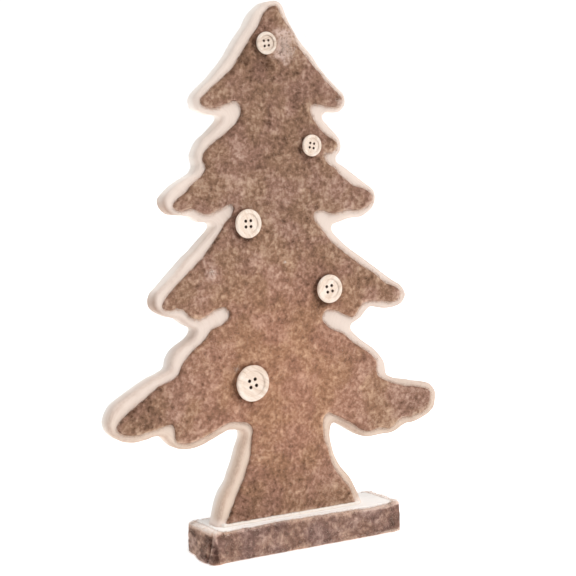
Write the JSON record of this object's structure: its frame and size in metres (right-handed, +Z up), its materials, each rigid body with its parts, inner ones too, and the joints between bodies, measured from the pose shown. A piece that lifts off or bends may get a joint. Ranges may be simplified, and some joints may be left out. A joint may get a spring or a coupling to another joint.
{
  "type": "standing christmas tree ornament",
  "caption": "Flat tree-shaped board with rounded white edges and brown felt faces, dotted with wooden four-hole buttons, standing on a rectangular foot wrapped in felt.",
  "frame": {"origin": "on the table, under the middle of the whole ornament's width and depth; the foot's own middle is 12.7 mm to the right of it, because the tree stands left of the middle of its foot", "axes": "+Z up, from the foot to the tree's tip; +X to the viewer's right, seen from the side that carries the buttons; +Y to the back"},
  "size_m": [0.2585, 0.0422, 0.374],
  "materials": {
    "tree_paint": "matte cream-white paint",
    "base_paint": "matte white paint",
    "tree_felt": "mottled brown wool felt",
    "band_felt": "mottled grey-brown wool felt",
    "button_wood": "pale satin wood",
    "glue": "set clear craft glue",
    "screw_steel": "zinc plated"
  },
  "bodies": {
    "root": {"base_board": "base_paint", "base_felt_band": "band_felt", "base_screw_left": "screw_steel", "base_screw_right": "screw_steel", "tree_board": "tree_paint", "front_felt": "tree_felt", "back_felt": "tree_felt", "button_1": "button_wood", "button_2": "button_wood", "button_3": "button_wood", "button_4": "button_wood", "button_5": "button_wood", "button_glue_1": "glue", "button_glue_2": "glue", "button_glue_3": "glue", "button_glue_4": "glue", "button_glue_5": "glue"}
  },
  "joints": []
}
